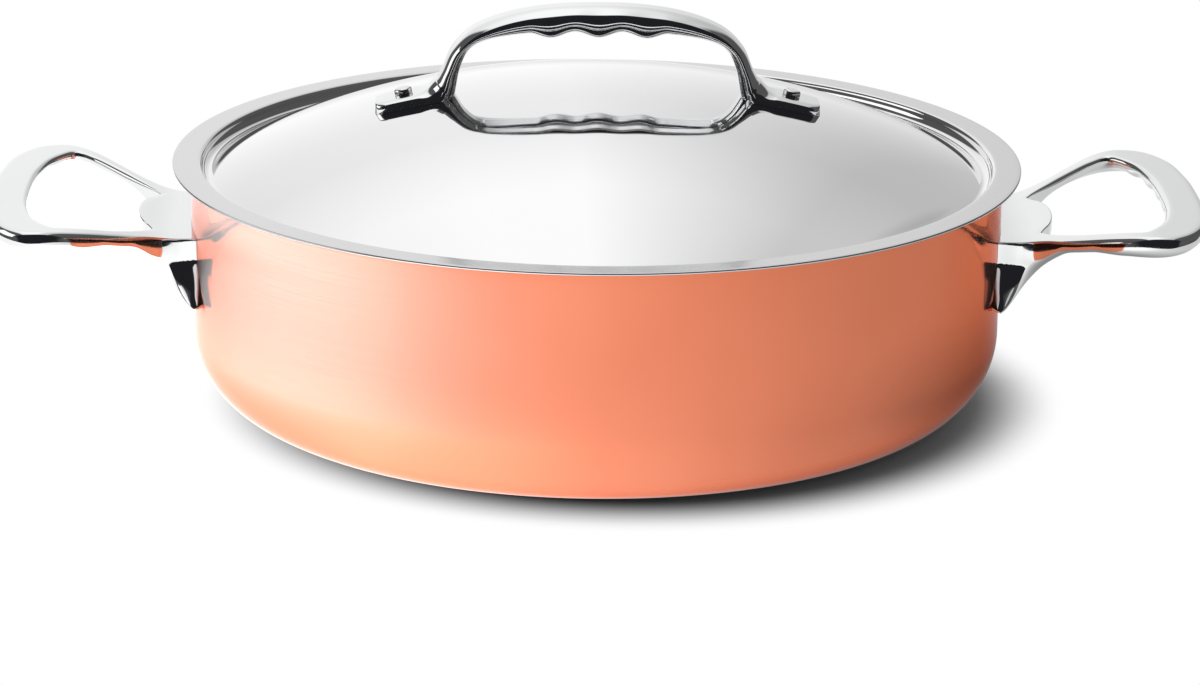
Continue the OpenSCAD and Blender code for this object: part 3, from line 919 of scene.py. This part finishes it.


# Floor and studio
# Brightness that polished metal sees: of the lit paper behind the pot and the unlit
# room beside it from left to right, of the paper from low to high, and of the floor's
# painted glow from left to right, close to the pot and further out
PAPER_LEVELS = [
    (-1.0, 0.1),
    (-0.5, 0.1),
    (-0.42, 1.0),
    (-0.15, 1.1),
    (0.0, 1.1),
    (0.3, 0.65),
    (0.4, 0.65),
    (0.5, 0.1),
    (1.0, 0.1),
]
HEIGHT_LEVELS = [(-0.1, 0.8), (0.0, 0.95), (0.35, 0.85), (0.5, 0.85), (0.75, 1.0)]
# The floor's glow in metal is painted light, brightest on the left close to the pot, and
# painted shade where it is dim on the pot's right
NEAR_LEVELS = [(-1.0, 1.8), (-0.6, 2.1), (-0.3, 1.8), (0.0, 1.2), (0.75, 0.6), (1.0, 0.25)]
FLOOR_LEVELS = [(-1.0, 1.05), (-0.6, 1.2), (-0.3, 1.2), (0.0, 1.1), (1.0, 0.65)]
# Distances from the pot's middle between which the floor's near levels give way
NEAR_END, FAR_START = 0.15, 0.30

WHITE = (1.0, 1.0, 1.0)
FLOOR_COLOUR = (0.97, 0.97, 0.97)
# Radius of the floor in mm, and its rings and sides
FLOOR_R = 620.0
FLOOR_RINGS = 24
FLOOR_SIDES = 128
# The floor's shadow: its centre, its radius and the width of its fading rim
SHADOW_CENTRE = (0.014, 0.004, 0.0)
SHADOW_R = 0.120
SHADOW_FADE = 0.034
# In polished metal the floor's painted glow starts at this distance from the shadow's centre
MIRROR_R = 0.100

# The unlit room is behind the camera and a little up, around this direction
ROOM_Y, ROOM_Z = -0.94, 0.34
# How far a direction points there where the room starts, and where it is all dark
ROOM_START, ROOM_FULL = 0.5, 0.66
ROOM_COLOUR = (0.015, 0.015, 0.018)
# The world's even light on matt surfaces
FILL_COLOUR = (0.2, 0.2, 0.2)


def floor_material():
    """Pale and matt, with the pot's shadow close to it, and fading into the white
    background further out. In polished metal it glows instead with painted light and
    painted shade, by the floor's levels above."""
    material = bpy.data.materials.new("pale_floor")
    material.use_nodes = True
    n = Nodes(material.node_tree)
    position = n.object_position()
    distance = n.add("VectorMath", position, SHADOW_CENTRE, operation="DISTANCE")
    from_shadow = distance.outputs["Value"]
    fade = n.ramp(from_shadow, SHADOW_R, SHADOW_R + SHADOW_FADE)
    lit = n.ramp(from_shadow, MIRROR_R, MIRROR_R + SHADOW_FADE)
    radius = n.polar(position)[0]
    across = n.math("DIVIDE", n.xyz(position)[0], radius)
    path = n.add("LightPath").outputs
    glossy = path["Is Glossy Ray"]
    # A reflection inside another one sees the outer floor's levels everywhere
    second = n.math("GREATER_THAN", path["Ray Depth"], 1.5)
    far = n.math("MAXIMUM", n.ramp(radius, NEAR_END, FAR_START), second)
    # Painted light and shade: the floor glows in metal by these levels
    mirrored = n.mix(far, n.levels(across, NEAR_LEVELS), n.levels(across, FLOOR_LEVELS))
    glow = n.add("Emission", n.mix(glossy, WHITE, mirrored))
    share = n.math("MAXIMUM", n.times(fade, n.sight(path)), n.times(lit, glossy))
    matt = n.add("BsdfDiffuse", FLOOR_COLOUR)
    both = n.add("MixShader", share, matt.outputs[0], glow.outputs[0])
    n.add("OutputMaterial", both.outputs[0])
    return material


def build_floor():
    """A round floor of even rings."""
    points, faces = [(0.0, 0.0, 0.0)], []
    for i in range(1, FLOOR_RINGS + 1):
        for s in range(FLOOR_SIDES):
            a = 2 * math.pi * s / FLOOR_SIDES
            r = FLOOR_R * i / FLOOR_RINGS
            points.append((r * math.cos(a), r * math.sin(a), 0.0))
    for s in range(FLOOR_SIDES):
        t = (s + 1) % FLOOR_SIDES
        faces.append([0, 1 + s, 1 + t])
        for i in range(FLOOR_RINGS - 1):
            a, b = 1 + i * FLOOR_SIDES, 1 + (i + 1) * FLOOR_SIDES
            faces.append([a + s, b + s, b + t, a + t])
    floor = new_object("floor", points, faces, floor_material())


def build_world():
    """White to the camera. Polished metal sees a studio: lit paper behind the pot,
    brighter on the left, and an unlit room beside it and behind the camera."""
    world = bpy.data.worlds.new("studio")
    bpy.context.scene.world = world
    world.use_nodes = True
    n = Nodes(world.node_tree)
    x, y, z = n.xyz(n.add("TexCoord").outputs["Generated"])
    to_room = n.plus(n.times(z, ROOM_Z), n.times(y, ROOM_Y))
    dark = n.ramp(to_room, ROOM_START, ROOM_FULL)
    paper = n.mix(1.0, n.levels(x, PAPER_LEVELS), n.levels(z, HEIGHT_LEVELS), "MULTIPLY")
    studio = n.add("Background", n.mix(dark, paper, ROOM_COLOUR))
    fill = n.add("Background", FILL_COLOUR)
    white = n.add("Background", WHITE)
    path = n.add("LightPath").outputs
    light = n.add("MixShader", path["Is Glossy Ray"], fill.outputs[0], studio.outputs[0])
    both = n.add("MixShader", n.sight(path), light.outputs[0], white.outputs[0])
    n.add("OutputWorld", both.outputs[0])


def area_light(name, location, target, size, radiance, for_metal):
    """A soft box of size (width, height) in metres that shines with this radiance,
    on polished metal alone or on everything but the metal's reflections."""
    data = bpy.data.lights.new(name, "AREA")
    data.shape = "RECTANGLE"
    data.size, data.size_y = size
    data.energy = radiance * math.pi * size[0] * size[1]
    obj = bpy.data.objects.new(name, data)
    obj.location = location
    aim = Vector(target) - Vector(location)
    obj.rotation_mode = "QUATERNION"
    obj.rotation_quaternion = aim.to_track_quat("-Z", "Y")
    obj.visible_camera = False
    obj.visible_glossy = for_metal
    obj.visible_diffuse = not for_metal
    bpy.context.scene.collection.objects.link(obj)
    return obj


def build_lights():
    area_light(
        "overhead",
        location=(-0.2, 0.05, 1.4),
        target=(0, 0, 0),
        size=(0.8, 0.8),
        radiance=8.3,
        for_metal=False,
    )
    area_light(
        "left_box",
        location=(-1.25, 0.1, 0.45),
        target=(0, 0, 0.05),
        size=(1.2, 0.7),
        radiance=1.2,
        for_metal=True,
    )
    # The lacquer's broad sheen: a strip that lights the copper alone, and that no ray
    # off a metal surface hits
    strip = area_light(
        "sheen_strip",
        location=(-1.2, -0.12, 0.37),
        target=(0, 0, 0.05),
        size=(1.7, 0.7),
        radiance=105.0,
        for_metal=True,
    )
    strip.data.cycles.max_bounces = 0
    strip.data.cycles.use_multiple_importance_sampling = False
    lacquered = bpy.data.collections.new("lacquered")
    lacquered.objects.link(bpy.data.objects["copper_wall"])
    strip.light_linking.receiver_collection = lacquered


# The photograph's view: a long lens about 1.7 m away, 16 degrees above
VIEW_AIM = Vector((0, 0, 0.05))
VIEW_DISTANCE = 1.698
VIEW_ELEVATION = math.radians(15.84)
VIEW_YAW = math.radians(1.5)
VIEW_ROLL = math.radians(0.658)
LENS_MM = 144.33
SENSOR_MM = 36.0
LENS_SHIFT = (0.00358, -0.06822)
VIEW_RANGE = (0.05, 50.0)


def build_camera():
    flat = Vector((-math.sin(VIEW_YAW), -math.cos(VIEW_YAW), 0))
    level = Vector((math.cos(VIEW_YAW), -math.sin(VIEW_YAW), 0))
    sine, cosine = math.sin(VIEW_ELEVATION), math.cos(VIEW_ELEVATION)
    back = flat * cosine + Vector((0, 0, sine))
    upright = Vector((0, 0, cosine)) - flat * sine
    right = level * math.cos(VIEW_ROLL) + upright * math.sin(VIEW_ROLL)
    up = upright * math.cos(VIEW_ROLL) - level * math.sin(VIEW_ROLL)
    data = bpy.data.cameras.new("camera")
    data.lens, data.sensor_width = LENS_MM, SENSOR_MM
    data.shift_x, data.shift_y = LENS_SHIFT
    data.clip_start, data.clip_end = VIEW_RANGE
    camera = bpy.data.objects.new("camera", data)
    rotation = Matrix((right, up, back)).transposed().to_4x4()
    camera.matrix_world = Matrix.Translation(VIEW_AIM + back * VIEW_DISTANCE) @ rotation
    bpy.context.scene.collection.objects.link(camera)
    bpy.context.scene.camera = camera


build_body()
build_plate()
build_lid()
build_side_handles()
build_bow()
build_side_rivets()
build_lid_rivets()
build_floor()
build_world()
build_lights()
build_camera()
bpy.context.scene.view_settings.view_transform = "Standard"
